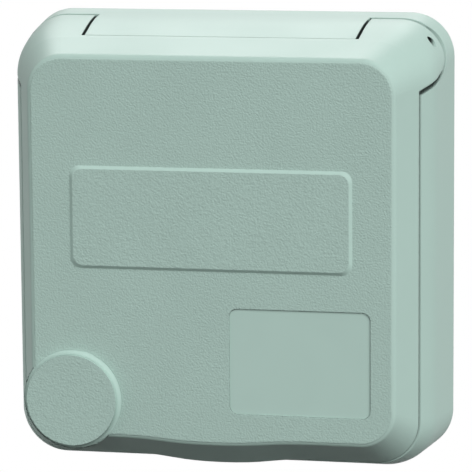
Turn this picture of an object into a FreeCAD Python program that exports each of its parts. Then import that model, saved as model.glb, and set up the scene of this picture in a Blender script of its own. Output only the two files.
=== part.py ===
import FreeCAD, Part
import math
import os
from FreeCAD import Vector

# Flush-mounted weatherproof socket with a hinged lid, in millimetres.
# X runs to the right, Z up, and the wall is the plane Y = 0.
# A depth is a distance in front of the wall, so it lies at Y = -depth.

# Outer form of the closed body
body_width = 85.0
body_height = 87.0
bend_depth = 16.5
top_bend_depth = 12.0
parting_depth = 21.3
face_depth = 29.2
wall_corner_radius = 8.5
bend_corner_radius = 9.2
face_corner_radius = 6.8
bend_inset_side = 1.15
bend_inset_top = 0.95
bend_inset_bottom = 0.45
parting_inset_top = 3.6
parting_inset_bottom = 1.85
face_inset_side = 6.95
face_inset_top = 6.25
face_inset_bottom = 6.85
bend_reach = 2.0
top_bend_reach = 4.0
face_edge_radius = 1.2

# Lid
parting_gap = 0.75
lid_wall = 2.0
lid_face_thickness = 2.2
lip_half_width = 20.0
lip_drop_at_rim = 1.3
lip_drop_at_face = 0.85
panel_width = 55.0
panel_height = 19.9
panel_centre_z = 6.2
panel_rise = 0.5
panel_bevel = 0.6
panel_corner_radius = 2.0
label_width = 27.4
label_height = 20.6
label_centre_x = 17.25
label_centre_z = -21.1
label_sink = 0.3
label_corner_radius = 1.6
boss_radius = 8.9
boss_centre_x = -27.4
boss_centre_z = -29.5
boss_rise = 1.9
boss_fillet = 1.0
boss_root = 5.5

# Hinge: two ears of the lid turn on pins held by the bridge of the frame
hinge_depth = 11.2
hinge_drop = 4.6
ear_width = 15.6
slot_width = 0.65
slot_taper = 0.033
ear_rear_depth = 7.85
ear_height = 12.75
ear_floor_slope = 15.0
ear_corner_radius = 4.0
ear_gap = 1.0
ear_rear_gap = 1.5
ear_cheek = 1.8
ear_skin = 1.8
bridge_front_radius = 8.95
bridge_seam = 0.12
pin_radius = 1.0
pin_running_gap = 0.05
pin_boss_radius = 2.6
pin_boss_length = 3.0
pin_recess = 4.2
swing_clearance = 0.25

# Frame
frame_wall = 2.0
deck_back_depth = 3.5
deck_thickness = 2.0
land_width = 5.5
wall_seal_width = 2.2
wall_seal_depth = 1.5
wall_seal_inset = 1.8
bridge_rib = 2.0
bridge_rib_drop = 9.0
screw_spacing_x = 60.0
screw_spacing_z = 54.0
screw_hole_radius = 2.3
screw_head_radius = 4.3
screw_post_radius = 5.2
collar_gap = 0.6
collar_wall = 1.8
collar_rim_depth = 17.0

# Socket insert
well_radius = 21.5
well_depth = 17.5
well_wall = 1.9
socket_face_depth = 20.0
flange_overlap = 0.2
floor_thickness = 3.0
pin_pitch = 19.0
pin_hole_radius = 3.1
guide_width = 4.6
guide_height = 1.9
guide_front_gap = 3.0
lug_radius = 3.0
lug_offset = 2.6
flange_screw_radius = 1.25
flange_screw_head_radius = 2.3
flange_screw_length = 9.0
cover_seal_thickness = 0.6
lid_seal_width = 2.6
lid_seal_height = 3.0
lid_seal_gap = 0.1
seal_channel_wall = 1.2
seal_channel_grip = 1.3

# Live parts behind the well
base_clearance = 0.6
base_depth = 19.5
strap_width = 4.6
strap_thickness = 0.8
strap_clip_reach = 13.0
strap_clip_bulge = 1.2
strap_clip_peak = 0.6
hub_radius = 4.0
shutter_radius = 14.2
shutter_thickness = 2.0
shutter_gap = 0.2
shutter_turn = 38.0
shutter_window_radius = 3.3
shutter_ramp_depth = 1.2
shutter_tab_radius = 17.0
shutter_tab_width = 2.4
contact_inner_radius = 2.42
contact_wall = 0.7
contact_length = 12.0
contact_slit = 0.6
contact_stop = 0.8
tail_thickness = 0.9
tail_width = 6.0
tail_start = 4.0
clamp_pitch_radius = 17.0
clamp_width = 7.0
clamp_height = 8.0
clamp_length = 5.5
clamp_inner_wall = 0.8
clamp_outer_wall = 1.5
clamp_cheek = 0.9
pocket_gap = 0.15
terminal_screw_radius = 1.5
terminal_head_radius = 2.6
terminal_head_height = 1.7
terminal_screw_reach = 2.0
cover_plate_thickness = 2.0
wire_hole_radius = 2.6
base_screw_radius = 1.4
base_screw_head_radius = 2.5
base_screw_offset = 12.5
base_screw_length = 8.0
centre_screw_radius = 1.6
centre_screw_head_radius = 3.2
centre_screw_head_height = 1.4
centre_screw_length = 13.0
screw_slot_width = 0.6
spring_wire_radius = 0.2
spring_coil_radius = 1.4
spring_pitch = 0.6
spring_turns = 4.75
spring_leg = 5.4
spring_hook = 0.9
spring_leg_stations = (0.4, 0.7, 1.0)
coil_points_per_turn = 16
spring_rib_half_width = 0.8
spring_hole_gap = 0.1
spring_rest_width = 1.4
spring_rest_depth = 2.0
spring_rest_thickness = 1.2
shutter_spring_wire_radius = 0.2
shutter_spring_coil_radius = 4.6
shutter_spring_pitch = 0.5
shutter_spring_turns = 2
spring_room = 1.8

half_width = body_width / 2
half_height = body_height / 2
hinge_z = half_height - hinge_drop
bridge_half_width = half_width - ear_width
ear_floor_z = half_height - ear_height
collar_inner_radius = well_radius + well_wall + collar_gap
lug_circle_radius = collar_inner_radius + lug_offset
lid_rim_depth = parting_depth + parting_gap / 2
frame_rim_depth = parting_depth - parting_gap / 2
lid_inner_depth = face_depth - lid_face_thickness
deck_front_depth = deck_back_depth + deck_thickness
flange_radius = collar_inner_radius + collar_wall + flange_overlap
floor_front_depth = socket_face_depth - well_depth
floor_back_depth = floor_front_depth - floor_thickness
base_radius = collar_inner_radius - base_clearance
seal_radius = (well_radius + flange_radius) / 2
seal_back_depth = socket_face_depth + lid_seal_gap + lid_seal_height
strap_front_depth = floor_back_depth - shutter_gap / 2
strap_rear_depth = strap_front_depth - strap_thickness
shutter_front_depth = strap_rear_depth - shutter_gap
shutter_rear_depth = shutter_front_depth - shutter_thickness
shutter_room_depth = shutter_rear_depth - shutter_gap
spring_room_depth = shutter_room_depth - spring_room
contact_front_depth = shutter_room_depth - contact_stop
contact_rear_depth = contact_front_depth - contact_length
tail_front_depth = contact_front_depth - tail_start
clamp_rear_depth = contact_rear_depth
clamp_front_depth = clamp_rear_depth + clamp_length
base_rear_depth = floor_back_depth - base_depth
clamp_inner_x = clamp_pitch_radius - clamp_width / 2
clamp_outer_x = clamp_pitch_radius + clamp_width / 2
tail_x = clamp_inner_x + clamp_inner_wall

# Spacing of the loft's outlines, a far reach, the overrun of a cutting tool, and how near is touching
station_spacing = 1.7
beyond = 100.0
margin = 1.0
touch = 0.01


def blend(start, end, share):
    return start + (end - start) * share


def eased(depth, start, bend, end, reach):
    """Two straight slopes through three points (depth, value), with a soft bend over a reach each way."""
    first = (bend[1] - start[1]) / (bend[0] - start[0])
    second = (end[1] - bend[1]) / (end[0] - bend[0])
    past = min(max(depth - bend[0] + reach, 0.0), 2 * reach)
    over = max(depth - bend[0] - reach, 0.0)
    turn = past * past / (4 * reach) + over
    return start[1] + first * (depth - start[0]) + (second - first) * turn


def form_at(depth):
    """Side, top and bottom insets and the corner radius of the outer form at a depth."""
    wall = (0.0, 0.0)
    side_bend = (bend_depth, bend_inset_side)
    side_end = (face_depth, face_inset_side)
    top_bend = (top_bend_depth, bend_inset_top)
    top_end = (parting_depth, parting_inset_top)
    bottom_bend = (bend_depth, bend_inset_bottom)
    bottom_end = (parting_depth, parting_inset_bottom)
    side = eased(depth, wall, side_bend, side_end, bend_reach)
    top = eased(depth, wall, top_bend, top_end, top_bend_reach)
    bottom = eased(depth, wall, bottom_bend, bottom_end, bend_reach)
    radius = eased(depth, (0.0, wall_corner_radius), (bend_depth, bend_corner_radius),
                   (face_depth, face_corner_radius), bend_reach)
    if depth > parting_depth:
        share = (depth - parting_depth) / (face_depth - parting_depth)
        top = blend(parting_inset_top, face_inset_top, share)
        bottom = blend(parting_inset_bottom, face_inset_bottom, share)
    return side, top, bottom, radius


def top_at(depth):
    return half_height - form_at(depth)[1]


def corner_arc(centre_x, centre_z, radius, depth, quarter):
    """One rounded corner as a quarter arc, counted anticlockwise from the lower right."""
    angles = [math.radians(90 * quarter - 90 + step) for step in (0, 45, 90)]
    points = [
        Vector(centre_x + radius * math.cos(a), -depth, centre_z + radius * math.sin(a)) for a in angles
    ]
    return Part.Arc(*points).toShape()


def lip_edges(low, drop, depth):
    """The finger lip as two smooth halves that sink below the bottom edge."""
    left = [(-1.0, 0.0), (-0.5, 0.0), (-0.5, -drop), (0.0, -drop)]
    right = [(-share, fall) for share, fall in reversed(left)]
    edges = []
    for half in (left, right):
        curve = Part.BezierCurve()
        curve.setPoles([Vector(share * lip_half_width, -depth, low + fall) for share, fall in half])
        edges.append(curve.toShape())
    return edges


def rounded_wire(left, right, low, high, radius, depth, lip_drop=None):
    """A rounded rectangle at a depth, with the finger lip in its bottom edge where a drop is given."""
    x0, x1 = left + radius, right - radius
    z0, z1 = low + radius, high - radius
    if lip_drop is None:
        edges = [Part.makeLine(Vector(x0, -depth, low), Vector(x1, -depth, low))]
    else:
        edges = [Part.makeLine(Vector(x0, -depth, low), Vector(-lip_half_width, -depth, low))]
        edges += lip_edges(low, lip_drop, depth)
        edges.append(Part.makeLine(Vector(lip_half_width, -depth, low), Vector(x1, -depth, low)))
    edges.append(corner_arc(x1, z0, radius, depth, 0))
    edges.append(Part.makeLine(Vector(right, -depth, z0), Vector(right, -depth, z1)))
    edges.append(corner_arc(x1, z1, radius, depth, 1))
    edges.append(Part.makeLine(Vector(x1, -depth, high), Vector(x0, -depth, high)))
    edges.append(corner_arc(x0, z1, radius, depth, 2))
    edges.append(Part.makeLine(Vector(left, -depth, z1), Vector(left, -depth, z0)))
    edges.append(corner_arc(x0, z0, radius, depth, 3))
    return Part.Wire(edges)


def outline(depth, shrink=0.0, lip_drop=None):
    """The outer form's outline at a depth, moved in by a wall."""
    side, top, bottom, radius = form_at(depth)
    right = half_width - side - shrink
    high = half_height - top - shrink
    low = bottom + shrink - half_height
    return rounded_wire(-right, right, low, high, radius - shrink, depth, lip_drop)


def loft(wires, straight=True):
    return Part.makeLoft(wires, True, straight)


def skin(first, last, shrink=0.0):
    """The outer form between two depths, or its inside: soft up to the parting, straight beyond it."""
    solids = []
    if first < parting_depth:
        end = min(last, parting_depth)
        steps = max(3, round((end - first) / station_spacing))
        depths = [blend(first, end, step / steps) for step in range(steps + 1)]
        solids.append(loft([outline(depth, shrink) for depth in depths], False))
    if last > parting_depth:
        start = max(first, parting_depth)
        solids.append(loft([outline(start, shrink), outline(last, shrink)]))
    return solids[0].fuse(solids[1:]) if len(solids) > 1 else solids[0]


def plate(wire, thickness):
    """A flat piece that stands forward of its outline by a thickness."""
    return Part.Face(wire).extrude(Vector(0, -thickness, 0))


def block(x0, x1, near, far, z0, z1):
    return Part.makeBox(x1 - x0, far - near, z1 - z0, Vector(x0, -far, z0))


def post(radius, near, far, x=0.0, z=0.0):
    """A round bar square to the wall, from one depth to another."""
    return Part.makeCylinder(radius, far - near, Vector(x, -near, z), Vector(0, -1, 0))


def cone_post(near_radius, far_radius, near, far, x=0.0, z=0.0):
    return Part.makeCone(near_radius, far_radius, far - near, Vector(x, -near, z), Vector(0, -1, 0))


def ring(inner, outer, near, far):
    return post(outer, near, far).cut(post(inner, near, far))


def rod(radius, x0, x1, depth=hinge_depth, z=hinge_z):
    """A round bar along the hinge."""
    return Part.makeCylinder(radius, x1 - x0, Vector(x0, -depth, z), Vector(1, 0, 0))


def side_prism(points, x0, x1):
    """A straight-sided profile of depths and heights, drawn out along X."""
    corners = [Vector(x0, -depth, z) for depth, z in points]
    return Part.Face(Part.makePolygon(corners + corners[:1])).extrude(Vector(x1 - x0, 0, 0))


def mirrored(shape):
    return shape.mirror(Vector(0, 0, 0), Vector(1, 0, 0))


def fused(shape, *others):
    return shape.multiFuse(list(others)).removeSplitter()


def slot_side(depth):
    """Half width of the bridge at a depth: its ends draw in towards the front."""
    return bridge_half_width - slot_taper * (depth - ear_rear_depth)


pin_start = slot_side(hinge_depth) - bridge_rib - pin_boss_length
spring_start = slot_side(hinge_depth) + slot_width + ear_cheek + spring_pitch / 2
spring_end = spring_start + spring_pitch * spring_turns
pin_boss_start = spring_end + spring_pitch / 2


def drawn_up(corners, height):
    """A flat shape between its corners, drawn upwards."""
    return Part.Face(Part.makePolygon(corners + corners[:1])).extrude(Vector(0, 0, height))


def between_slots(near, far, low, grow=0.0):
    """Room between the slots from one depth to another, above a height, grown to either side."""
    corners = []
    for side, depth in ((-1, near), (1, near), (1, far), (-1, far)):
        corners.append(Vector(side * (slot_side(depth) + grow), -depth, low))
    return drawn_up(corners, half_height + margin - low)


def outside_slot(near, far, low, grow=0.0, width=beyond):
    """Room beyond the right slot, from its edge grown by a clearance, up to a width from that edge."""
    inner = [slot_side(depth) + grow for depth in (near, far)]
    corners = [
        Vector(inner[0], -near, low),
        Vector(inner[0] + width, -near, low),
        Vector(inner[1] + width, -far, low),
        Vector(inner[1], -far, low),
    ]
    return drawn_up(corners, half_height + margin - low)


def ear_floor(depth):
    """Height of the ear's underside, which falls towards the front."""
    return ear_floor_z - (depth - parting_depth) * math.tan(math.radians(ear_floor_slope))


def ear_prism(x0, x1, grow=0.0, rear_grow=0.0):
    """An ear's side profile, grown by clearances: upright rear, rounded heel and sloping underside."""
    slope = math.radians(ear_floor_slope)
    radius = ear_corner_radius + grow
    rear = ear_rear_depth - rear_grow
    front = lid_rim_depth + ear_gap
    drop = grow / math.cos(slope)
    heel_z = ear_floor(rear) - drop
    reach = radius / math.tan((math.pi / 2 + slope) / 2)
    middle = math.radians(225.0 - ear_floor_slope / 2)
    heel = Part.Arc(
        Vector(x0, -rear, heel_z + reach),
        Vector(x0, -rear - radius - radius * math.cos(middle), heel_z + reach + radius * math.sin(middle)),
        Vector(x0, -rear - reach * math.cos(slope), heel_z - reach * math.sin(slope)),
    ).toShape()
    high = half_height + margin
    path = [
        Vector(x0, -rear - reach * math.cos(slope), heel_z - reach * math.sin(slope)),
        Vector(x0, -front, ear_floor(front) - drop),
        Vector(x0, -front, high),
        Vector(x0, -rear, high),
        Vector(x0, -rear, heel_z + reach),
    ]
    wire = Part.Wire([heel] + Part.makePolygon(path).Edges)
    return Part.Face(wire).extrude(Vector(x1 - x0, 0, 0))


def spring_foot():
    """Depth of the leg that stands in the frame, and the height of its end."""
    depth = hinge_depth + spring_coil_radius
    return depth, ear_floor(depth) - ear_gap / math.cos(math.radians(ear_floor_slope)) - spring_hook


def corner_points(spacing_x, spacing_z):
    return [(x * spacing_x / 2, z * spacing_z / 2) for x in (-1, 1) for z in (-1, 1)]


def lug_points():
    step = lug_circle_radius / math.sqrt(2)
    return [(x * step, z * step) for x in (-1, 1) for z in (-1, 1)]


def frame_bridge_rib():
    """Rib under the right end of the bridge that holds a hinge pin, with the pin's boss."""
    inner = slot_side(hinge_depth) - bridge_rib
    profile = [
        (deck_back_depth, hinge_z - bridge_rib_drop),
        (hinge_depth, hinge_z - bridge_rib_drop),
        (bend_depth, hinge_z - pin_boss_radius),
        (parting_depth - frame_wall, hinge_z - pin_boss_radius),
        (parting_depth - frame_wall, half_height),
        (deck_back_depth, half_height),
    ]
    rib = side_prism(profile, inner, half_width).common(skin(0.0, face_depth))
    rib = rib.common(between_slots(0.0, face_depth, 0.0))
    return rib.fuse(rod(pin_boss_radius, inner - pin_boss_length, inner + bridge_rib / 2))


def frame_spring_rib():
    """Rib that stands out from the deck below the right spring, with a hole for the spring's leg."""
    depth, low = spring_foot()
    radius = spring_wire_radius + spring_hole_gap
    rib = block(spring_end - spring_rib_half_width, spring_end + spring_rib_half_width, deck_back_depth,
                depth + 2 * spring_rib_half_width, low, ear_floor(ear_rear_depth))
    return rib.cut(Part.makeCylinder(radius, half_height, Vector(spring_end, -depth, 0)))


def frame_ear_room():
    """Room in the frame for the right ear, and for its top corner as it swings back."""
    swing = math.hypot(hinge_depth - ear_rear_depth, top_at(ear_rear_depth) - hinge_z) + swing_clearance
    end = half_width + margin
    room = ear_prism(0.0, end, ear_gap, ear_rear_gap).fuse(rod(swing, 0.0, end))
    return room.common(outside_slot(0.0, face_depth, 0.0))


def frame_bridge_front():
    """What is cut from the front of the bridge, so that its edge is round about the hinge."""
    room = between_slots(bend_depth, face_depth, hinge_z - pin_boss_radius, margin)
    return room.cut(rod(bridge_front_radius, -half_width, half_width))


def frame():
    """The outer moulding: skirt, deck, collar for the insert, screw posts and bridge."""
    body = skin(0.0, frame_rim_depth)
    body = body.cut(skin(deck_front_depth, face_depth, frame_wall))
    body = body.cut(plate(outline(0.0, land_width), deck_back_depth))
    parts = [post(collar_inner_radius + collar_wall, 0.0, collar_rim_depth)]
    for rib in (frame_bridge_rib(), frame_spring_rib()):
        parts += [rib, mirrored(rib)]
    parts += [post(screw_post_radius, 0.0, deck_front_depth, x, z)
              for x, z in corner_points(screw_spacing_x, screw_spacing_z)]
    parts += [post(lug_radius, deck_back_depth, collar_rim_depth, x, z) for x, z in lug_points()]
    body = fused(body, *parts)
    well_room = post(collar_inner_radius, -margin, collar_rim_depth + margin)
    cuts = [well_room, wall_seal(), frame_bridge_front()]
    for x, z in corner_points(screw_spacing_x, screw_spacing_z):
        cuts.append(post(screw_hole_radius, -margin, deck_front_depth + margin, x, z))
        head = screw_head_radius - screw_hole_radius
        cuts.append(cone_post(screw_hole_radius, screw_head_radius, deck_front_depth - head,
                              deck_front_depth, x, z))
    for x, z in lug_points():
        end = socket_face_depth - flange_screw_length
        cuts.append(post(flange_screw_radius, end, collar_rim_depth + margin, x, z))
    cuts += [frame_ear_room(), mirrored(frame_ear_room())]
    hole = rod(pin_radius, pin_start, half_width)
    cuts += [hole, mirrored(hole)]
    for tool in cuts:
        body = body.cut(tool)
    return body


def wall_seal():
    """Soft cord in the groove of the back face."""
    outer = plate(outline(0.0, wall_seal_inset), wall_seal_depth)
    return outer.cut(plate(outline(0.0, wall_seal_inset + wall_seal_width), wall_seal_depth))


def lid_front():
    """Front of the lid with the finger lip, and a small radius round its face."""
    front = loft([
        outline(lid_rim_depth, 0.0, lip_drop_at_rim),
        outline(face_depth, 0.0, lip_drop_at_face),
    ])
    rim = [e for e in front.Edges if all(abs(v.Point.y + face_depth) < touch for v in e.Vertexes)]
    return front.makeFillet(face_edge_radius, rim)


def lid_top_edge():
    """Edge of the lid between its ears, hollowed about the hinge to pass the bridge."""
    low = hinge_z - pin_boss_radius
    edge = skin(bend_depth, lid_rim_depth).common(between_slots(bend_depth, face_depth, low, slot_width))
    return edge.cut(rod(bridge_front_radius + bridge_seam, -half_width, half_width))


def lid_ear():
    """The right ear: skin, cheek and pin boss, open to the rear and below."""
    ear = skin(0.0, lid_rim_depth).common(ear_prism(0.0, half_width))
    ear = ear.common(outside_slot(0.0, face_depth, 0.0, slot_width))
    room = outside_slot(0.0, face_depth, 0.0, slot_width + ear_cheek)
    hollow = skin(0.0, face_depth, ear_skin).common(room)
    boss = rod(pin_boss_radius, pin_boss_start, half_width).common(skin(0.0, lid_rim_depth))
    return ear.cut(hollow).fuse(boss)


def lid_spring_rest():
    """Ledge on the inside of the right ear's cheek that the spring presses down."""
    start = spring_start - spring_pitch / 2
    end = hinge_depth + spring_leg
    high = hinge_z - spring_coil_radius - spring_wire_radius - pin_running_gap
    return block(start - ear_cheek / 2, start + spring_rest_width, end - spring_rest_depth, end,
                 high - spring_rest_thickness, high)


def lid_gusset():
    """Rib that carries the right ear's cheek on to the inside of the lid's front."""
    profile = [
        (lid_rim_depth - ear_cheek, ear_floor(lid_rim_depth - ear_cheek)),
        (lid_inner_depth, ear_floor(lid_inner_depth)),
        (lid_inner_depth, half_height),
        (lid_rim_depth - ear_cheek, half_height),
    ]
    rib = side_prism(profile, 0.0, half_width).common(skin(bend_depth, face_depth))
    return rib.common(outside_slot(0.0, face_depth, 0.0, slot_width, ear_cheek))


def lid_boss():
    """The blank round boss at the lower left, with a flared foot on the face."""
    foot = boss_radius + boss_fillet
    face = face_depth
    top = face_depth + boss_rise
    turn = math.radians(45)
    flare = Part.Arc(
        Vector(boss_radius, -face - boss_fillet, 0),
        Vector(foot - boss_fillet * math.cos(turn), -face - boss_fillet + boss_fillet * math.sin(turn), 0),
        Vector(foot, -face, 0),
    ).toShape()
    path = Part.makePolygon([
        Vector(foot, -face, 0),
        Vector(boss_radius, -face, 0),
        Vector(boss_radius, -face + boss_root, 0),
        Vector(0, -face + boss_root, 0),
        Vector(0, -top, 0),
        Vector(boss_radius, -top, 0),
        Vector(boss_radius, -face - boss_fillet, 0),
    ])
    profile = Part.Face(Part.Wire([flare] + path.Edges))
    boss = profile.revolve(Vector(0, 0, 0), Vector(0, 1, 0), 360)
    boss.translate(Vector(boss_centre_x, 0, boss_centre_z))
    return boss


def lid_panel():
    """The raised panel with its sloping border."""
    right, high = panel_width / 2, panel_height / 2
    foot = rounded_wire(-right, right, panel_centre_z - high, panel_centre_z + high, panel_corner_radius,
                        face_depth)
    top = rounded_wire(panel_bevel - right, right - panel_bevel, panel_centre_z - high + panel_bevel,
                       panel_centre_z + high - panel_bevel, panel_corner_radius, face_depth + panel_rise)
    return loft([foot, top])


def lid_label_recess():
    """The shallow recess that would take a label."""
    right, high = label_width / 2, label_height / 2
    wire = rounded_wire(label_centre_x - right, label_centre_x + right, label_centre_z - high,
                        label_centre_z + high, label_corner_radius, face_depth - label_sink)
    return plate(wire, label_sink + margin)


def lid_seal_channel():
    """Ring channel inside the lid that grips the seal."""
    inner = seal_radius - lid_seal_width / 2 - lid_seal_gap
    outer = seal_radius + lid_seal_width / 2 + lid_seal_gap
    start = seal_back_depth - seal_channel_grip
    inner_wall = ring(inner - seal_channel_wall, inner, start, lid_inner_depth)
    outer_wall = ring(outer, outer + seal_channel_wall, start, lid_inner_depth)
    floor = ring(inner, outer, seal_back_depth, seal_back_depth + seal_channel_wall)
    return inner_wall, outer_wall, floor


def lid():
    """The hinged lid, moulded in one piece."""
    ear = lid_ear().fuse(lid_spring_rest())
    gusset = lid_gusset()
    hollow = skin(lid_rim_depth - margin, lid_inner_depth, lid_wall)
    body = fused(lid_front(), lid_boss()).cut(hollow)
    edge = lid_top_edge().cut(skin(bend_depth, lid_rim_depth, lid_wall))
    parts = [edge, ear, mirrored(ear), gusset, mirrored(gusset), lid_panel(), *lid_seal_channel()]
    body = fused(body, *parts)
    body = body.cut(lid_label_recess())
    hole = rod(pin_radius + pin_running_gap, bridge_half_width, half_width)
    return body.cut(hole).cut(mirrored(hole))


def lid_seal():
    seal = ring(seal_radius - lid_seal_width / 2, seal_radius + lid_seal_width / 2,
                socket_face_depth + lid_seal_gap, seal_back_depth)
    edges = [e for e in seal.Edges if abs(e.BoundBox.YMax + socket_face_depth + lid_seal_gap) < touch]
    edges = [e for e in edges if e.BoundBox.YLength < touch]
    return seal.makeFillet(lid_seal_width / 4, edges)


def hinge_pin():
    """Steel pin, pressed into the bridge rib and free in the ear."""
    pin = rod(pin_radius, pin_start, half_width - form_at(hinge_depth)[0] - pin_recess)
    tips = [e for e in pin.Edges if e.BoundBox.XLength < touch]
    return pin.makeChamfer(pin_radius / 4, tips)


def coil_points(radius, pitch, turns):
    """Points of a close coil: the distance along its axis and two offsets across it."""
    steps = round(coil_points_per_turn * turns)
    angles = [2 * math.pi * turns * step / steps for step in range(steps + 1)]
    return [(pitch * a / (2 * math.pi), radius * math.sin(a), -radius * math.cos(a)) for a in angles]


def bent_wire(radius, points):
    """Round wire along a smooth line through the points."""
    line = Part.BSplineCurve()
    line.interpolate(points)
    heading = points[1] - points[0]
    section = Part.Wire(Part.makeCircle(radius, points[0], heading))
    return Part.Wire(line.toShape()).makePipeShell([section], True, False)


def hinge_spring():
    """Torsion spring round the right pin, one leg on the lid's ledge and one in the frame's rib."""
    low = hinge_z - spring_coil_radius
    points = []
    for share in reversed(spring_leg_stations):
        points.append(Vector(spring_start, -hinge_depth - spring_leg * share, low))
    for along, across, down in coil_points(spring_coil_radius, spring_pitch, spring_turns):
        points.append(Vector(spring_start + along, across - hinge_depth, hinge_z + down))
    depth, foot = spring_foot()
    points += [Vector(spring_end, -depth, blend(hinge_z, foot, share)) for share in spring_leg_stations]
    return bent_wire(spring_wire_radius, points)


def socket_cover():
    """The well moulding: flange with four lugs, well, floor, guide ribs and openings."""
    body = post(flange_radius, collar_rim_depth + cover_seal_thickness, socket_face_depth)
    parts = [post(lug_radius, collar_rim_depth + cover_seal_thickness, socket_face_depth, x, z)
             for x, z in lug_points()]
    parts.append(post(well_radius + well_wall, floor_back_depth, socket_face_depth))
    body = fused(body, *parts)
    body = body.cut(post(well_radius, floor_front_depth, socket_face_depth + margin))
    guide_top = socket_face_depth - guide_front_gap
    guide = block(well_radius - guide_height, well_radius + well_wall / 2, floor_front_depth, guide_top,
                  -guide_width / 2, guide_width / 2)
    body = fused(body, guide, mirrored(guide))
    for side in (-1, 1):
        body = body.cut(post(pin_hole_radius, floor_back_depth - margin, floor_front_depth + margin,
                             side * pin_pitch / 2))
    slot = strap_width / 2 + shutter_gap
    reach = strap_clip_reach + shutter_gap
    inner = well_radius - strap_clip_bulge
    outer = well_radius + well_wall + margin
    for z0, z1 in ((inner, outer), (-outer, -inner)):
        body = body.cut(block(-slot, slot, floor_back_depth - margin, reach, z0, z1))
    for x, z in lug_points():
        body = body.cut(post(flange_screw_radius, collar_rim_depth, socket_face_depth + margin, x, z))
        head = flange_screw_head_radius - flange_screw_radius
        body = body.cut(cone_post(flange_screw_radius, flange_screw_head_radius, socket_face_depth - head,
                                  socket_face_depth, x, z))
    body = body.cut(post(centre_screw_radius, floor_back_depth - margin, floor_front_depth + margin))
    return body.cut(post(centre_screw_head_radius, floor_front_depth - centre_screw_head_height,
                         floor_front_depth + margin))


def cover_seal():
    """Flat gasket between the well moulding and the collar, inside the ring of screws."""
    return ring(collar_inner_radius, lug_circle_radius - flange_screw_radius - lid_seal_gap,
                collar_rim_depth, collar_rim_depth + cover_seal_thickness)


def flange_screws():
    """Four countersunk screws that hold the well moulding to the frame."""
    screws = []
    head = flange_screw_head_radius - flange_screw_radius
    for x, z in lug_points():
        shank = post(flange_screw_radius, socket_face_depth - flange_screw_length,
                     socket_face_depth - head, x, z)
        cap = cone_post(flange_screw_radius, flange_screw_head_radius, socket_face_depth - head,
                        socket_face_depth, x, z)
        slot = block(x - flange_screw_head_radius, x + flange_screw_head_radius,
                     socket_face_depth - head / 2, socket_face_depth, z - screw_slot_width / 2,
                     z + screw_slot_width / 2)
        screws.append(shank.fuse(cap).cut(slot))
    return Part.makeCompound(screws)


def earth_clip():
    """Upper clip of the earth strap, bulging into the well so that a plug presses it out."""
    outer = well_radius + well_wall / 2
    inner = outer - strap_thickness
    bulge = well_radius - strap_clip_bulge
    middle = blend(floor_front_depth, strap_clip_reach, strap_clip_peak)
    path = [
        (strap_rear_depth, outer),
        (floor_front_depth, outer),
        (middle, bulge + strap_thickness),
        (strap_clip_reach, outer),
        (strap_clip_reach, inner),
        (middle, bulge),
        (floor_front_depth, inner),
        (strap_rear_depth, inner),
    ]
    return side_prism(path, -strap_width / 2, strap_width / 2)


def earth_strap():
    """One bent strip: two earth clips, the bar behind the floor and the tail to its terminal."""
    half = strap_width / 2
    outer = well_radius + well_wall / 2
    clip = earth_clip()
    lower = clip.mirror(Vector(0, 0, 0), Vector(0, 0, 1))
    bar = block(-half, half, strap_rear_depth, strap_front_depth, -outer, outer)
    tail = block(-half, half, clamp_rear_depth, strap_rear_depth + strap_thickness / 2,
                 -tail_x - strap_thickness, -tail_x)
    strap = fused(bar, clip, lower, tail)
    hole = post(centre_screw_radius + shutter_gap, strap_rear_depth - margin, floor_front_depth)
    return strap.cut(hole)


def about_socket(shape, angle):
    """A copy turned about the socket's axis."""
    turned = shape.copy()
    turned.rotate(Vector(0, 0, 0), Vector(0, 1, 0), angle)
    return turned


def shutter():
    """Turning shutter: two windows, the ramps that the pins push on and the tab that stops it."""
    body = ring(hub_radius + pin_running_gap, shutter_radius, shutter_rear_depth, shutter_front_depth)
    tab = block(-shutter_tab_width / 2, shutter_tab_width / 2, shutter_rear_depth, shutter_front_depth,
                shutter_radius - shutter_thickness, shutter_tab_radius)
    body = fused(body, about_socket(tab, -shutter_turn / 2))
    window = post(shutter_window_radius, shutter_rear_depth - margin, shutter_front_depth + margin,
                  pin_pitch / 2)
    window = about_socket(window, -shutter_turn)
    ramp = side_prism(
        [
            (shutter_front_depth, -pin_hole_radius),
            (shutter_front_depth + margin, -pin_hole_radius),
            (shutter_front_depth + margin, pin_hole_radius),
            (shutter_front_depth - shutter_ramp_depth, pin_hole_radius),
        ],
        pin_pitch / 2 - pin_hole_radius,
        pin_pitch / 2 + pin_hole_radius,
    )
    for tool in (window, ramp):
        body = body.cut(tool)
        body = body.cut(about_socket(tool, 180))
    return body


def shutter_spring():
    """Light torsion spring round the hub behind the shutter."""
    start = shutter_room_depth - shutter_gap - shutter_spring_wire_radius
    turns = coil_points(shutter_spring_coil_radius, shutter_spring_pitch, shutter_spring_turns)
    return bent_wire(shutter_spring_wire_radius, [Vector(x, y - start, z) for y, x, z in turns])


def tab_room():
    """Pocket that the shutter's tab sweeps through, with its stops."""
    reach = shutter_tab_radius + shutter_gap
    deep = ring(shutter_radius, reach, shutter_room_depth, floor_back_depth + margin)
    spare = math.degrees((shutter_tab_width / 2 + shutter_gap) / shutter_radius)
    half = math.radians(shutter_turn / 2 + spare)
    side = 2 * reach
    wedge = Part.Face(Part.makePolygon([
        Vector(0, 0, 0),
        Vector(-side * math.sin(half), 0, side * math.cos(half)),
        Vector(side * math.sin(half), 0, side * math.cos(half)),
        Vector(0, 0, 0),
    ])).extrude(Vector(0, beyond, 0))
    return deep.common(wedge)


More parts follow.
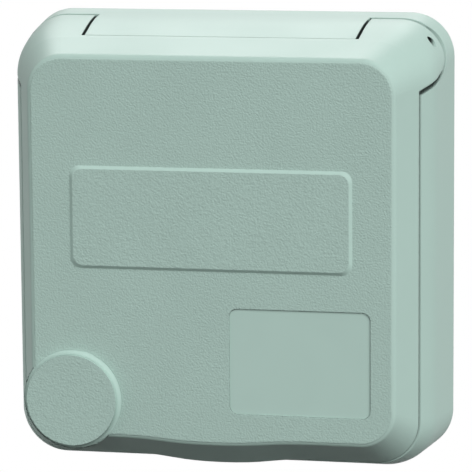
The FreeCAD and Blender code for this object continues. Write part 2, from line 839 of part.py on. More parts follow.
def terminal_room():
    """Pockets on the right for one clamp, its screw and the tail that runs into it."""
    gap = pocket_gap
    half = clamp_height / 2 + gap
    clamp_space = block(clamp_inner_x - gap, clamp_outer_x + gap, base_rear_depth - margin,
                        clamp_front_depth + gap, -half, half)
    half = tail_width / 2 + gap
    tail_space = block(tail_x - gap, tail_x + tail_thickness + gap, base_rear_depth - margin,
                       tail_front_depth + gap, -half, half)
    middle = (clamp_front_depth + clamp_rear_depth) / 2
    access = rod(terminal_head_radius + gap, clamp_outer_x, base_radius + margin, middle, 0.0)
    return [clamp_space, tail_space, access]


def contact_room():
    """Bore on the right for one contact tube, with its front stop, and the slot for its tail."""
    outer = contact_inner_radius + contact_wall + pocket_gap
    x = pin_pitch / 2
    half = tail_width / 2 + pocket_gap
    return [
        post(contact_inner_radius + pocket_gap, contact_front_depth - margin,
             shutter_room_depth + margin, x),
        post(outer, base_rear_depth - margin, contact_front_depth, x),
        block(x, tail_x + tail_thickness, base_rear_depth - margin, tail_front_depth + pocket_gap,
              -half, half),
    ]


def earth_tail_room():
    half = strap_width / 2 + pocket_gap
    return block(-half, half, base_rear_depth - margin, floor_back_depth + margin,
                 -tail_x - strap_thickness - pocket_gap, pocket_gap - tail_x)


def contact_base():
    """The rear moulding that holds the shutter, contacts and terminals."""
    body = post(base_radius, base_rear_depth, floor_back_depth)
    room = ring(hub_radius, shutter_radius + shutter_gap, shutter_room_depth, floor_back_depth + margin)
    half = strap_width / 2 + shutter_gap
    channel = block(-half, half, strap_rear_depth - shutter_gap / 2, floor_back_depth + margin,
                    -base_radius - margin, base_radius + margin)
    spring_space = ring(hub_radius, shutter_spring_coil_radius + spring_room / 2, spring_room_depth,
                        shutter_room_depth + margin)
    cuts = [room, channel, spring_space, tab_room(), earth_tail_room()]
    for tool in terminal_room():
        cuts += [tool, about_socket(tool, 90), mirrored(tool)]
    for tool in contact_room():
        cuts += [tool, mirrored(tool)]
    screw_end = floor_front_depth - centre_screw_length
    cuts.append(post(centre_screw_radius, screw_end, floor_back_depth + margin))
    for side in (-1, 1):
        cuts.append(post(base_screw_radius, base_rear_depth - margin, base_screw_end(),
                         side * base_screw_offset, side * base_screw_offset))
    for tool in cuts:
        body = body.cut(tool)
    return body


def base_screw_end():
    return base_rear_depth - cover_plate_thickness + base_screw_length


def contact():
    """Slit tube on the right with the bent tail that leads into its clamp."""
    x = pin_pitch / 2
    outer = contact_inner_radius + contact_wall
    half = tail_width / 2
    tube = post(outer, contact_rear_depth, contact_front_depth, x)
    bridge = block(x, tail_x + tail_thickness, tail_front_depth - tail_thickness, tail_front_depth,
                   -half, half)
    tail = block(tail_x, tail_x + tail_thickness, clamp_rear_depth, tail_front_depth, -half, half)
    body = fused(tube, bridge, tail)
    bore = post(contact_inner_radius, contact_rear_depth - margin, contact_front_depth + margin, x)
    body = body.cut(bore)
    slit = block(x - outer - margin, x, tail_front_depth, contact_front_depth + margin,
                 -contact_slit / 2, contact_slit / 2)
    return body.cut(slit)


def clamp():
    """Box clamp of the right terminal, open for the wire and threaded for its screw."""
    outer = block(clamp_inner_x, clamp_outer_x, clamp_rear_depth, clamp_front_depth,
                  -clamp_height / 2, clamp_height / 2)
    half = clamp_height / 2 - clamp_cheek
    inner = block(tail_x, clamp_outer_x - clamp_outer_wall, clamp_rear_depth - margin,
                  clamp_front_depth + margin, -half, half)
    middle = (clamp_front_depth + clamp_rear_depth) / 2
    hole = rod(terminal_screw_radius, clamp_pitch_radius, clamp_outer_x + margin, middle, 0.0)
    return outer.cut(inner).cut(hole)


def terminal_screw():
    """Screw of the right terminal, pointing at the socket's axis."""
    middle = (clamp_front_depth + clamp_rear_depth) / 2
    tip = clamp_outer_x - clamp_outer_wall - terminal_screw_reach
    end = clamp_outer_x + terminal_head_height
    shank = rod(terminal_screw_radius, tip, clamp_outer_x, middle, 0.0)
    head = rod(terminal_head_radius, clamp_outer_x, end, middle, 0.0)
    slot = block(end - terminal_head_height / 2, end, middle - terminal_head_radius,
                 middle + terminal_head_radius, -screw_slot_width / 2, screw_slot_width / 2)
    return shank.fuse(head).cut(slot)


def terminal_screws():
    screw = terminal_screw()
    return Part.makeCompound([screw, mirrored(screw), about_socket(screw, 90)])


def terminal_cover():
    """Rear cover with three wire holes."""
    rear = base_rear_depth - cover_plate_thickness
    body = post(base_radius, rear, base_rear_depth)
    hole = post(wire_hole_radius, rear - margin, base_rear_depth + margin, clamp_pitch_radius)
    cuts = [hole, mirrored(hole), about_socket(hole, 90)]
    for side in (-1, 1):
        x = side * base_screw_offset
        cuts.append(post(base_screw_radius, rear - margin, base_rear_depth + margin, x, x))
    for tool in cuts:
        body = body.cut(tool)
    return body


def base_screws():
    """Two pan-head screws that hold the rear cover to the base."""
    rear = base_rear_depth - cover_plate_thickness
    screws = []
    for side in (-1, 1):
        x = side * base_screw_offset
        shank = post(base_screw_radius, rear, base_screw_end(), x, x)
        head = post(base_screw_head_radius, rear - base_screw_radius, rear, x, x)
        rim = [e for e in head.Edges if e.BoundBox.YLength < touch and e.BoundBox.YMin > -rear + touch]
        head = head.makeFillet(base_screw_radius / 2, rim)
        slot = block(x - base_screw_head_radius, x + base_screw_head_radius, rear - base_screw_radius,
                     rear - base_screw_radius / 2, x - screw_slot_width / 2, x + screw_slot_width / 2)
        screws.append(shank.fuse(head).cut(slot))
    return Part.makeCompound(screws)


def centre_screw():
    """Screw in the middle of the well floor."""
    seat = floor_front_depth - centre_screw_head_height
    shank = post(centre_screw_radius, floor_front_depth - centre_screw_length, seat)
    head = post(centre_screw_head_radius, seat, floor_front_depth)
    slot = block(-centre_screw_head_radius, centre_screw_head_radius,
                 floor_front_depth - centre_screw_head_height / 2, floor_front_depth,
                 -screw_slot_width / 2, screw_slot_width / 2)
    return shank.fuse(head).cut(slot)


pieces = {
    "frame": frame,
    "wall_seal": wall_seal,
    "lid": lid,
    "lid_seal": lid_seal,
    "hinge_pin_right": hinge_pin,
    "hinge_pin_left": lambda: mirrored(hinge_pin()),
    "hinge_spring_right": hinge_spring,
    "hinge_spring_left": lambda: mirrored(hinge_spring()),
    "socket_cover": socket_cover,
    "cover_seal": cover_seal,
    "flange_screws": flange_screws,
    "earth_strap": earth_strap,
    "shutter": shutter,
    "shutter_spring": shutter_spring,
    "contact_base": contact_base,
    "contact_right": contact,
    "contact_left": lambda: mirrored(contact()),
    "terminal_clamps": lambda: Part.makeCompound([clamp(), mirrored(clamp())]),
    "earth_clamp": lambda: about_socket(clamp(), 90),
    "terminal_screws": terminal_screws,
    "terminal_cover": terminal_cover,
    "base_screws": base_screws,
    "centre_screw": centre_screw,
}

os.makedirs("parts", exist_ok=True)
for name, make in pieces.items():
    shape = make()
    shape.exportStep("parts/" + name + ".step")
    print(name, shape.isValid(), len(shape.Solids), round(shape.Volume, 1))
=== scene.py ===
"""Looks of a flush-mounted weatherproof socket with a hinged lid: finishes, studio light and camera."""

import logging
import math
from dataclasses import dataclass
from enum import Enum
from typing import Dict, List, Optional, Sequence, Tuple, Union

import bpy
from mathutils import Matrix, Vector

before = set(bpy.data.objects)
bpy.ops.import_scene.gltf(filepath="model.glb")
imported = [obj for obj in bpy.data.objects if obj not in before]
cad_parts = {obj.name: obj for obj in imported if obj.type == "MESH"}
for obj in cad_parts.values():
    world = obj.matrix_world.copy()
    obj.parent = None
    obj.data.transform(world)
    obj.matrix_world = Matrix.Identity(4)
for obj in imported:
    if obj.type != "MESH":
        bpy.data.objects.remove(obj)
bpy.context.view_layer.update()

Colour = Tuple[float, float, float]
Point = Tuple[float, float, float]
Span = Tuple[float, float]
# What an input socket takes: a constant, or the output of another node.
Feed = Union[float, Sequence[float], bpy.types.NodeSocket]

MM = 0.001
IMAGE_SIDE = 472
WHITE: Colour = (1.0, 1.0, 1.0)

log = logging.getLogger("weatherproof_socket")


class Grain(Enum):
    """Where the fine moulded texture lies on a plastic piece."""

    FRONT_FACES = "front_faces"
    ALL_OVER = "all_over"
    NONE = "none"


def rgba(colour: Colour) -> Tuple[float, float, float, float]:
    """Give a colour its full opacity."""
    return (*colour, 1.0)


class Tree:
    """A node tree that is filled one node at a time."""

    # Places of a colour Mix node's share and two colours among its inputs, and of its result.
    MIX_INPUTS: Tuple[int, int, int] = (0, 6, 7)
    MIX_RESULT: int = 2

    def __init__(self, tree: bpy.types.NodeTree) -> None:
        """Start from an empty tree.

        Args:
            tree: The material's, world's or group's node tree.
        """
        self.tree = tree
        tree.nodes.clear()

    def add(self, kind: str, inputs: Optional[Dict[Union[int, str], Feed]] = None,
            **settings: object) -> bpy.types.Node:
        """Add a node, set it up and feed its inputs.

        Args:
            kind: Blender's name of the node type, without its "ShaderNode" start.
            inputs: Socket names or numbers, each with a constant or an output socket.
            settings: Attributes of the node.

        Returns:
            The new node.
        """
        name = kind if kind.startswith("Node") else "ShaderNode" + kind
        node = self.tree.nodes.new(name)
        for key, value in settings.items():
            setattr(node, key, value)
        for key, value in (inputs or {}).items():
            if isinstance(value, bpy.types.NodeSocket):
                self.tree.links.new(value, node.inputs[key])
            else:
                node.inputs[key].default_value = value
        return node

    def maths(self, operation: str, *values: Feed) -> bpy.types.NodeSocket:
        """Add a Math node.

        Args:
            operation: Blender's name of the operation.
            values: Its numbers or output sockets, in order.

        Returns:
            The node's output.
        """
        return self.add("Math", dict(enumerate(values)), operation=operation).outputs[0]

    def ramp(self, value: Feed, low: Feed, high: Feed, to_low: float = 0.0,
             to_high: float = 1.0) -> bpy.types.NodeSocket:
        """Add a smooth step from one value to another.

        Args:
            value: The number or output socket that is read.
            low: Where the step starts.
            high: Where the step ends.
            to_low: The result at the start.
            to_high: The result at the end.

        Returns:
            The stepped value.
        """
        inputs = {"Value": value, "From Min": low, "From Max": high, "To Min": to_low, "To Max": to_high}
        return self.add("MapRange", inputs, interpolation_type="SMOOTHSTEP").outputs[0]

    def axes(self, vector: bpy.types.NodeSocket) -> Dict[str, bpy.types.NodeSocket]:
        """Split a vector.

        Args:
            vector: The output socket that gives it.

        Returns:
            Its three numbers, by axis.
        """
        split = self.add("SeparateXYZ", {0: vector}).outputs
        return {axis: split[axis] for axis in "XYZ"}

    def blend(self, share: Feed, first: Colour, second: Colour) -> bpy.types.NodeSocket:
        """Mix two colours.

        Args:
            share: Share of the second colour.
            first: The colour at a share of nought, linear.
            second: The colour at a share of one, linear.

        Returns:
            The mixed colour.
        """
        inputs = dict(zip(self.MIX_INPUTS, (share, rgba(first), rgba(second))))
        return self.add("Mix", inputs, data_type="RGBA").outputs[self.MIX_RESULT]

    def blend_shaders(self, share: Feed, first: bpy.types.Node,
                      second: bpy.types.Node) -> bpy.types.NodeSocket:
        """Mix two shaders.

        Args:
            share: Share of the second shader.
            first: The shader at a share of nought.
            second: The shader at a share of one.

        Returns:
            The mixed shader.
        """
        inputs = {0: share, 1: first.outputs[0], 2: second.outputs[0]}
        return self.add("MixShader", inputs).outputs[0]


def new_material(name: str) -> Tuple[bpy.types.Material, Tree]:
    """Make a material whose nodes are still to come.

    Args:
        name: The material's name.

    Returns:
        The material and its empty tree.
    """
    made = bpy.data.materials.new(name)
    made.use_nodes = True
    return made, Tree(made.node_tree)


class SurfaceEffects:
    """The shader node groups that several finishes share."""

    # Nearly all values of a noise texture lie between these.
    NOISE_SPAN: Span = (0.3, 0.7)
    GRAIN_DETAIL: float = 1.5
    # Share of the rounded cells that is added to the noise in the grain's height.
    CELL_SHARE: float = 0.35
    CLOUD_DETAIL: float = 2.0
    CLOUD_DISTORTION: float = 0.4
    LINE_DETAIL: float = 2.0
    # Free share of the view round a point, below which it is deep in a gap and gets the most painted shade,
    # and above which it lies open.
    SHUT_AND_OPEN: Span = (0.40, 0.60)
    GAP_PAINTED_SHADE_SAMPLES: int = 12

    def __init__(self) -> None:
        """Build every group once."""
        self.grain = self._moulded_grain()
        self.gap_painted_shade = self._gap_painted_shade()
        self.mottle = self._mottle()
        self.drawn_lines = self._drawn_lines()

    @staticmethod
    def _group(name: str, inputs: Dict[str, float],
               outputs: Sequence[str]) -> Tuple[Tree, bpy.types.NodeOutputs]:
        """Make an empty group with named number sockets.

        Args:
            name: The group's name.
            inputs: Each input's name and usual value.
            outputs: The outputs' names.

        Returns:
            The group's tree, and the sockets inside it that give its inputs.
        """
        group = bpy.data.node_groups.new(name, "ShaderNodeTree")
        for label, value in inputs.items():
            socket = group.interface.new_socket(label, in_out="INPUT", socket_type="NodeSocketFloat")
            socket.default_value = value
        for label in outputs:
            group.interface.new_socket(label, in_out="OUTPUT", socket_type="NodeSocketFloat")
        tree = Tree(group)
        return tree, tree.add("NodeGroupInput").outputs

    def _moulded_grain(self) -> bpy.types.NodeTree:
        """Build the fine spark-eroded texture of a moulded face.

        Returns:
            A group that gives a height, and a shade that is painted darker in the pits, both about nought
            to one.
        """
        tree, given = self._group("moulded_grain", {"Size": 0.4 * MM}, ["Height", "Shade"])
        place = tree.add("TexCoord").outputs["Object"]
        scale = tree.maths("DIVIDE", 1.0, given["Size"])
        pits = tree.add("TexNoise", {"Vector": place, "Scale": scale, "Detail": self.GRAIN_DETAIL})
        cells = tree.add("TexVoronoi", {"Vector": place, "Scale": scale}, feature="SMOOTH_F1")
        height = tree.maths("MULTIPLY_ADD", cells.outputs["Distance"], self.CELL_SHARE, pits.outputs["Fac"])
        # Painted shade: the shade follows the pits, so that the colour darkens in them.
        shade = tree.ramp(pits.outputs["Fac"], *self.NOISE_SPAN)
        tree.add("NodeGroupOutput", {"Height": height, "Shade": shade})
        return tree.tree

    def _gap_painted_shade(self) -> bpy.types.NodeTree:
        """Find narrow gaps and holes, where the colour is darkened as painted shade.

        Returns:
            A group that gives one on open faces and falls to nought in a gap.
        """
        shut, wide = self.SHUT_AND_OPEN
        inputs = {"Reach": 3.0 * MM, "Shut": shut, "Open": wide}
        tree, given = self._group("gap_painted_shade", inputs, ["Openness"])
        free = tree.add("AmbientOcclusion", {"Distance": given["Reach"]}, samples=self.GAP_PAINTED_SHADE_SAMPLES)
        openness = tree.ramp(free.outputs["AO"], given["Shut"], given["Open"])
        tree.add("NodeGroupOutput", {"Openness": openness})
        return tree.tree

    def _mottle(self) -> bpy.types.NodeTree:
        """Build the slow change of tone that a moulding or a plated skin has.

        Returns:
            A group that gives a shade about nought to one.
        """
        tree, given = self._group("mottle", {"Size": 14.0 * MM}, ["Shade"])
        place = tree.add("TexCoord").outputs["Object"]
        scale = tree.maths("DIVIDE", 1.0, given["Size"])
        cloud = tree.add("TexNoise", {"Vector": place, "Scale": scale, "Detail": self.CLOUD_DETAIL,
                                      "Distortion": self.CLOUD_DISTORTION})
        tree.add("NodeGroupOutput", {"Shade": tree.ramp(cloud.outputs["Fac"], *self.NOISE_SPAN)})
        return tree.tree

    def _drawn_lines(self) -> bpy.types.NodeTree:
        """Build the fine parallel lines of rolled strip, turned pins and drawn wire.

        Returns:
            A group that gives a height about nought to one.
        """
        tree, given = self._group("drawn_lines", {"Spacing": 0.15 * MM, "Stretch": 12.0}, ["Height"])
        place = tree.add("TexCoord").outputs["Object"]
        across = tree.maths("DIVIDE", 1.0, given["Spacing"])
        along = tree.maths("DIVIDE", across, given["Stretch"])
        stretch = tree.add("CombineXYZ", {"X": along, "Y": across, "Z": across}).outputs[0]
        stretched = tree.add("VectorMath", {0: place, 1: stretch}, operation="MULTIPLY").outputs[0]
        lines = tree.add("TexNoise", {"Vector": stretched, "Scale": 1.0, "Detail": self.LINE_DETAIL})
        tree.add("NodeGroupOutput", {"Height": lines.outputs["Fac"]})
        return tree.tree


@dataclass(frozen=True)
class MouldedPlastic:
    """Satin plastic with mould grain on the faces that have it.

    Attributes:
        name: The material's name.
        colour: Its base colour, linear.
        roughness: Roughness of its smooth faces.
        grain: Where the grain lies.
        specular: Strength of its reflections, where a half is usual for plastic.
        gloss: Share of those reflections that is left where a face is seen head-on.
        refraction: Index of refraction of its skin.
        grain_depth: Height of the grain.
        grain_size: Width of one grain.
        pit_painted_shade: How much lighter its tops are than its pits, as painted shade in the pits.
        grain_painted_shade: How much lighter its pits are than a smooth face, and so below nought; painted
            shade in place of the grain's self-shadow and the smooth faces' stronger sheen.
        grain_roughness: How much rougher it is than a smooth face.
        mottle_size: Width of its slightly lighter and darker patches.
        mottle_contrast: How much lighter the lightest patch is than the darkest.
        mottle_roughness: How much rougher the lightest patch is than the darkest.
        deep_gap_painted_shade: Share of the colour that is left deep in a narrow gap, as painted shade.
        edge_radius: Rounding of its sharp edges.
        edge_samples: Rays that find those edges.
        face_depth: Depth in front of the wall past which front faces are grained.
        face_fade: Further depth over which the grain sets in.
        face_turn: Y of the normals where the grain is full, and where it has gone.
    """

    name: str
    colour: Colour
    roughness: float
    grain: Grain = Grain.NONE
    specular: float = 0.12
    gloss: float = 0.3
    refraction: float = 1.49
    grain_depth: float = 0.112 * MM
    grain_size: float = 0.36 * MM
    pit_painted_shade: float = 0.06
    grain_painted_shade: float = -0.13
    grain_roughness: float = 0.12
    mottle_size: float = 14.0 * MM
    mottle_contrast: float = 0.02
    mottle_roughness: float = 0.04
    deep_gap_painted_shade: float = 0.06
    edge_radius: float = 0.22 * MM
    edge_samples: int = 6
    face_depth: float = 29.1 * MM
    face_fade: float = 0.06 * MM
    face_turn: Span = (-0.99, -0.95)

    def material(self, effects: SurfaceEffects) -> bpy.types.Material:
        """Build the material.

        Args:
            effects: The shared node groups.

        Returns:
            The finished material.
        """
        made, tree = new_material(self.name)
        mottle = tree.add("Group", {"Size": self.mottle_size}, node_tree=effects.mottle).outputs["Shade"]
        grain = tree.add("Group", {"Size": self.grain_size}, node_tree=effects.grain).outputs
        openness = tree.add("Group", node_tree=effects.gap_painted_shade).outputs["Openness"]
        where = self._grain_mask(tree)

        # Painted shade: the grain's pits darker than its tops, and grained faces darker than smooth ones,
        # in place of the grain's self-shadow and the smooth faces' stronger sheen.
        tone = tree.maths("MULTIPLY_ADD", grain["Shade"], self.pit_painted_shade, self.grain_painted_shade)
        tone = tree.maths("MULTIPLY", tone, where)
        # The patches lie evenly about the colour, so their shade counts from its middle.
        tone = tree.maths("MULTIPLY_ADD", tree.maths("SUBTRACT", mottle, 0.5), self.mottle_contrast, tone)
        # Painted shade: the colour darkens in narrow gaps and holes.
        shade = tree.maths("MULTIPLY_ADD", openness, 1.0 - self.deep_gap_painted_shade, self.deep_gap_painted_shade)
        value = tree.maths("MULTIPLY", tree.maths("ADD", tone, 1.0), shade)
        base = tree.add("HueSaturation", {"Color": rgba(self.colour), "Value": value})

        rough = tree.maths("MULTIPLY_ADD", where, self.grain_roughness, self.roughness)
        rough = tree.maths("MULTIPLY_ADD", mottle, self.mottle_roughness, rough)

        height = tree.maths("MULTIPLY", grain["Height"], where)
        rounded = tree.add("Bevel", {"Radius": self.edge_radius}, samples=self.edge_samples)
        bump = tree.add("Bump", {"Height": height, "Distance": self.grain_depth,
                                 "Normal": rounded.outputs[0]})

        shader = tree.add("BsdfPrincipled", {
            "Base Color": base.outputs[0],
            "Roughness": rough,
            "IOR": self.refraction,
            "Specular IOR Level": self.specular,
            "Specular Tint": rgba((self.gloss,) * 3),
            "Normal": bump.outputs[0],
        })
        tree.add("OutputMaterial", {"Surface": shader.outputs[0]})
        return made

    def _grain_mask(self, tree: Tree) -> Feed:
        """Find where the grain lies.

        Args:
            tree: The material's tree.

        Returns:
            A number, or a socket that is one on grained surfaces.
        """
        if self.grain is not Grain.FRONT_FACES:
            return 1.0 if self.grain is Grain.ALL_OVER else 0.0
        coordinates = tree.add("TexCoord").outputs
        place = tree.axes(coordinates["Object"])["Y"]
        facing = tree.axes(coordinates["Normal"])["Y"]
        forward = tree.ramp(place, -self.face_depth - self.face_fade, -self.face_depth, 1.0, 0.0)
        front = tree.ramp(facing, *self.face_turn, 1.0, 0.0)
        return tree.maths("MULTIPLY", forward, front)


@dataclass(frozen=True)
class Rubber:
    """Matt moulded rubber with a little bloom.

    Attributes:
        name: The material's name.
        colour: Its base colour, linear.
        roughness: Roughness of its smoothest patches.
        bloom_size: Width of the patches of bloom.
        bloom_roughness: How much rougher the bloom makes it.
        tone: Share of the colour where there is no bloom.
        bloom_tone: Share of the colour that the bloom adds.
        grain_size: Width of one grain of its skin.
        grain_depth: Height of that grain.
    """

    name: str
    colour: Colour = (0.018, 0.020, 0.021)
    roughness: float = 0.68
    bloom_size: float = 3.0 * MM
    bloom_roughness: float = 0.12
    tone: float = 0.8
    bloom_tone: float = 0.6
    grain_size: float = 0.35 * MM
    grain_depth: float = 0.02 * MM

    def material(self, effects: SurfaceEffects) -> bpy.types.Material:
        """Build the material.

        Args:
            effects: The shared node groups.

        Returns:
            The finished material.
        """
        made, tree = new_material(self.name)
        bloom = tree.add("Group", {"Size": self.bloom_size}, node_tree=effects.mottle).outputs["Shade"]
        grain = tree.add("Group", {"Size": self.grain_size}, node_tree=effects.grain).outputs["Height"]
        value = tree.maths("MULTIPLY_ADD", bloom, self.bloom_tone, self.tone)
        base = tree.add("HueSaturation", {"Color": rgba(self.colour), "Value": value})
        bump = tree.add("Bump", {"Height": grain, "Distance": self.grain_depth})
        shader = tree.add("BsdfPrincipled", {
            "Base Color": base.outputs[0],
            "Roughness": tree.maths("MULTIPLY_ADD", bloom, self.bloom_roughness, self.roughness),
            "Normal": bump.outputs[0],
        })
        tree.add("OutputMaterial", {"Surface": shader.outputs[0]})
        return made


@dataclass(frozen=True)
class Metal:
    """Plated, ground or rolled metal.

    Attributes:
        name: The material's name.
        colour: Its base colour, linear.
        tarnish: The colour that its duller patches lean to, linear.
        roughness: Roughness of its brighter patches.
        line_spacing: Distance between the fine lines of its skin.
        line_depth: Height of those lines.
        patch_size: Width of its duller patches.
        patch_roughness: How much rougher they are than the brighter ones.
    """

    name: str
    colour: Colour
    tarnish: Colour
    roughness: float
    line_spacing: float = 0.15 * MM
    line_depth: float = 0.004 * MM
    patch_size: float = 2.5 * MM
    patch_roughness: float = 0.14

    def material(self, effects: SurfaceEffects) -> bpy.types.Material:
        """Build the material.

        Args:
            effects: The shared node groups.

        Returns:
            The finished material.
        """
        made, tree = new_material(self.name)
        dull = tree.add("Group", {"Size": self.patch_size}, node_tree=effects.mottle).outputs["Shade"]
        lines = tree.add("Group", {"Spacing": self.line_spacing}, node_tree=effects.drawn_lines)
        bump = tree.add("Bump", {"Height": lines.outputs["Height"], "Distance": self.line_depth})
        shader = tree.add("BsdfPrincipled", {
            "Base Color": tree.blend(dull, self.colour, self.tarnish),
            "Roughness": tree.maths("MULTIPLY_ADD", dull, self.patch_roughness, self.roughness),
            "Metallic": 1.0,
            "Normal": bump.outputs[0],
        })
        tree.add("OutputMaterial", {"Surface": shader.outputs[0]})
        return made


Finish = Union[MouldedPlastic, Rubber, Metal]

BODY_COLOUR: Colour = (0.432, 0.585, 0.530)


@dataclass(frozen=True)
class Palette:
    """Every finish of the object."""

    body: MouldedPlastic = MouldedPlastic("body_plastic", BODY_COLOUR, roughness=0.48)
    lid: MouldedPlastic = MouldedPlastic("lid_plastic", BODY_COLOUR, roughness=0.48,
                                         grain=Grain.FRONT_FACES)
    insert: MouldedPlastic = MouldedPlastic("insert_plastic", BODY_COLOUR, roughness=0.34)
    shutter: MouldedPlastic = MouldedPlastic("shutter_plastic", (0.62, 0.64, 0.60), roughness=0.40)
    base: MouldedPlastic = MouldedPlastic("base_thermoset", (0.028, 0.031, 0.034), roughness=0.50,
                                          grain=Grain.ALL_OVER)
    rubber: Rubber = Rubber("seal_rubber")
    pin_steel: Metal = Metal("pin_steel", (0.50, 0.51, 0.52), tarnish=(0.38, 0.38, 0.38),
                             roughness=0.24)
    spring_steel: Metal = Metal("spring_steel", (0.34, 0.34, 0.35), tarnish=(0.24, 0.24, 0.24),
                                roughness=0.30, line_spacing=0.08 * MM)
    zinc: Metal = Metal("zinc_plate", (0.60, 0.61, 0.60), tarnish=(0.45, 0.46, 0.44),
                        roughness=0.28, line_spacing=0.20 * MM)
    brass: Metal = Metal("rolled_brass", (0.62, 0.44, 0.17), tarnish=(0.42, 0.29, 0.12),
                         roughness=0.26)


class Workshop:
    """Makes each finish once and puts it on the nodes that have it."""

    def __init__(self) -> None:
        """Build the shared shader groups."""
        self.effects = SurfaceEffects()
        self.made: Dict[str, bpy.types.Material] = {}

    def dress(self, finish: Finish, *nodes: str) -> None:
        """Give nodes of the CAD frame a finish.

        Args:
            finish: The finish, such as a Metal.
            nodes: The nodes' names.
        """
        if finish.name not in self.made:
            self.made[finish.name] = finish.material(self.effects)
        for name in nodes:
            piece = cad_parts[name]
            if not piece.material_slots:
                piece.data.materials.append(self.made[finish.name])
            for slot in piece.material_slots:
                slot.material = self.made[finish.name]
            log.info("%s has the finish %s", name, finish.name)


@dataclass
class Casing:
    """The frame with its wall seal, and the lid with its own seal."""

    palette: Palette

    def build(self, workshop: Workshop) -> None:
        """Dress the casing.

        Args:
            workshop: Where the finishes are made.
        """
        workshop.dress(self.palette.body, "frame")
        workshop.dress(self.palette.lid, "lid")
        workshop.dress(self.palette.rubber, "wall_seal", "lid_seal")


@dataclass
class Hinge:
    """The two pins and their springs."""

    palette: Palette

    def build(self, workshop: Workshop) -> None:
        """Dress the hinge.

        Args:
            workshop: Where the finishes are made.
        """
        workshop.dress(self.palette.pin_steel, "hinge_pin_left", "hinge_pin_right")
        workshop.dress(self.palette.spring_steel, "hinge_spring_left", "hinge_spring_right")


@dataclass
class SocketInsert:
    """The well with its gasket and screws, the shutter, and everything live behind it."""

    palette: Palette

    def build(self, workshop: Workshop) -> None:
        """Dress the insert.

        Args:
            workshop: Where the finishes are made.
        """
        workshop.dress(self.palette.insert, "socket_cover")
        workshop.dress(self.palette.rubber, "cover_seal")
        workshop.dress(self.palette.shutter, "shutter")
        workshop.dress(self.palette.spring_steel, "shutter_spring")
        workshop.dress(self.palette.base, "contact_base", "terminal_cover")
        workshop.dress(self.palette.zinc, "flange_screws", "terminal_screws", "base_screws", "centre_screw")
        workshop.dress(self.palette.brass, "earth_strap", "contact_left", "contact_right",
                       "terminal_clamps", "earth_clamp")


@dataclass(frozen=True)
class StudioCamera:
    """The camera, at the photograph's viewing angle.

    Attributes:
        azimuth: Turn of the view towards the object's right side, in degrees.
        elevation: Height of the view, in degrees.
        roll: Tilt of the picture, in degrees.
        pan: Turn of the camera off the object's middle, in degrees.
        distance: From the camera to the point it circles.
        target: The point that the camera circles.
        focal_pixels: Focal length in pixels of the picture.
        sensor: Width of its sensor, in millimetres.
        clip: Nearest and farthest distance that it shows.
    """

    azimuth: float = 12.497
    elevation: float = 9.411
    roll: float = -0.465
    pan: float = -0.1315
    distance: float = 625.68 * MM
    target: Point = (0.0, -12.75 * MM, 0.4756 * MM)
    focal_pixels: float = 3202.917
    sensor: float = 36.0
    clip: Span = (0.01, 20.0)

    def place(self) -> None:
        """Add the camera to the scene and make it the active one."""
        data = bpy.data.cameras.new("camera")
        data.sensor_width = self.sensor
        data.sensor_fit = "HORIZONTAL"
        data.lens = self.focal_pixels * self.sensor / IMAGE_SIDE
        data.clip_start, data.clip_end = self.clip
        camera = bpy.data.objects.new("camera", data)
        bpy.context.scene.collection.objects.link(camera)
        aim = Matrix.Rotation(math.radians(self.azimuth), 4, "Z")
        aim = aim @ Matrix.Rotation(math.radians(90.0 - self.elevation), 4, "X")
        back = aim @ Vector((0.0, 0.0, self.distance))
        aim = aim @ Matrix.Rotation(math.radians(self.roll), 4, "Z")
        aim = aim @ Matrix.Rotation(math.radians(self.pan), 4, "Y")
        camera.matrix_world = Matrix.Translation(Vector(self.target) + back) @ aim
        bpy.context.scene.camera = camera


@dataclass(frozen=True)
class Surroundings:
    """Soft light from all round, in front of a white background.

    Attributes:
        ground_level: Strength of the light that comes from below.
        round_level: Strength of the light that comes from the sides.
        sky_level: Strength of the light that comes from straight above.
        ground_edge: Heights, from -1 to 1, between which the ground's light gives way to the sides'.
        sky_edge: Heights between which the sides' light gives way to the sky's.
    """

    ground_level: float = 0.0
    round_level: float = 1.05
    sky_level: float = 0.02
    ground_edge: Span = (-0.08, 0.10)
    sky_edge: Span = (0.42, 0.72)

    def build(self) -> None:
        """Make the world."""
        world = bpy.data.worlds.new("studio")
        world.use_nodes = True
        bpy.context.scene.world = world
        tree = Tree(world.node_tree)
        height = tree.axes(tree.add("TexCoord").outputs["Generated"])["Z"]
        sides = tree.ramp(height, *self.ground_edge, self.ground_level, self.round_level)
        lost = tree.ramp(height, *self.sky_edge, 0.0, self.round_level - self.sky_level)
        level = tree.maths("SUBTRACT", sides, lost)
        light = tree.add("Background", {"Color": rgba(WHITE), "Strength": level})
        white = tree.add("Background", {"Color": rgba(WHITE), "Strength": 1.0})
        shown = tree.blend_shaders(self._seen_directly(tree), light, white)
        tree.add("OutputWorld", {"Surface": shown})

    @staticmethod
    def _seen_directly(tree: Tree) -> bpy.types.NodeSocket:
        """Find the rays that show the background itself.

        Args:
            tree: The tree that asks.

        Returns:
            One for camera, glossy and transmission rays.
        """
        path = tree.add("LightPath").outputs
        seen = tree.maths("MAXIMUM", path["Is Camera Ray"], path["Is Glossy Ray"])
        return tree.maths("MAXIMUM", seen, path["Is Transmission Ray"])


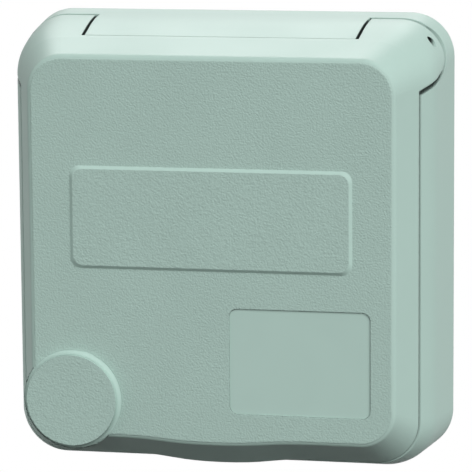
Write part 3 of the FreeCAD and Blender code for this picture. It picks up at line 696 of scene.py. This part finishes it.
@dataclass(frozen=True)
class Lamp:
    """A square soft lamp that points at the object.

    Attributes:
        name: The lamp's name.
        place: Where its middle hangs.
        side: Length of its side.
        watts: Its power.
        matt_light: Whether it lights matt surfaces too, and not only shows in gloss.
    """

    name: str
    place: Point
    side: float
    watts: float
    matt_light: bool

    def hang(self) -> None:
        """Add the lamp to the scene."""
        data = bpy.data.lights.new(self.name, "AREA")
        data.shape = "SQUARE"
        data.size = self.side
        data.energy = self.watts
        lamp = bpy.data.objects.new(self.name, data)
        bpy.context.scene.collection.objects.link(lamp)
        middle = Vector(self.place)
        turn = middle.to_track_quat("Z", "Y").to_matrix().to_4x4()
        lamp.matrix_world = Matrix.Translation(middle) @ turn
        lamp.visible_diffuse = self.matt_light


@dataclass(frozen=True)
class Floor:
    """A plain pale floor that fades into the white background.

    Attributes:
        height: Its height.
        reach: Half the side of its sheet.
        fade: Distances from the middle between which it fades away.
        colour: Its colour, linear.
        bounce: The colour that it throws back on the object, linear.
    """

    height: float = -80.0 * MM
    reach: float = 300.0 * MM
    fade: Span = (22.5 * MM, 75.0 * MM)
    colour: Colour = (0.86, 0.86, 0.86)
    bounce: Colour = (0.03, 0.03, 0.03)

    def lay(self) -> None:
        """Add the floor to the scene."""
        signs = ((-1, -1), (1, -1), (1, 1), (-1, 1))
        corners = [(x * self.reach, y * self.reach, self.height) for x, y in signs]
        mesh = bpy.data.meshes.new("floor")
        mesh.from_pydata(corners, [], [(0, 1, 2, 3)])
        floor = bpy.data.objects.new("floor", mesh)
        bpy.context.scene.collection.objects.link(floor)
        mesh.materials.append(self._material())

    def _material(self) -> bpy.types.Material:
        """Make its material: matt near the object, gone further out and from below.

        Returns:
            The floor's material.
        """
        made, tree = new_material("pale_floor")
        geometry = tree.add("NewGeometry").outputs
        place = tree.axes(geometry["Position"])
        flat = tree.add("CombineXYZ", {"X": place["X"], "Y": place["Y"]}).outputs[0]
        radius = tree.add("VectorMath", {0: flat}, operation="LENGTH").outputs["Value"]
        gone = tree.maths("MAXIMUM", tree.ramp(radius, *self.fade), geometry["Backfacing"])
        bounced = tree.add("LightPath").outputs["Is Diffuse Ray"]
        matt = tree.add("BsdfDiffuse", {"Color": tree.blend(bounced, self.colour, self.bounce)})
        shown = tree.blend_shaders(gone, matt, tree.add("BsdfTransparent"))
        tree.add("OutputMaterial", {"Surface": shown})
        return made


@dataclass(frozen=True)
class Studio:
    """Camera, surroundings, lamps and floor.

    Attributes:
        camera: The camera.
        surroundings: The soft light from all round.
        lamps: The key lamp at the upper right in front, and one behind that gives the top its sheen.
        floor: The floor.
    """

    camera: StudioCamera = StudioCamera()
    surroundings: Surroundings = Surroundings()
    lamps: Tuple[Lamp, ...] = (
        Lamp("key_lamp", (1.72, -2.05, 1.86), side=2.40, watts=91.0, matt_light=True),
        Lamp("back_lamp", (-0.12, 0.48, 0.62), side=0.60, watts=10.5, matt_light=False),
    )
    floor: Floor = Floor()

    def build(self) -> None:
        """Set up the whole studio."""
        self.camera.place()
        self.surroundings.build()
        for lamp in self.lamps:
            lamp.hang()
        self.floor.lay()
        bpy.context.scene.view_settings.view_transform = "Standard"


def main() -> None:
    """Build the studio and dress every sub-assembly."""
    logging.basicConfig(level=logging.INFO, format="%(name)s: %(message)s")
    palette = Palette()
    workshop = Workshop()
    Studio().build()
    for assembly in (Casing(palette), Hinge(palette), SocketInsert(palette)):
        assembly.build(workshop)
        log.info("%s is done", type(assembly).__name__)


if __name__ == "__main__":
    main()
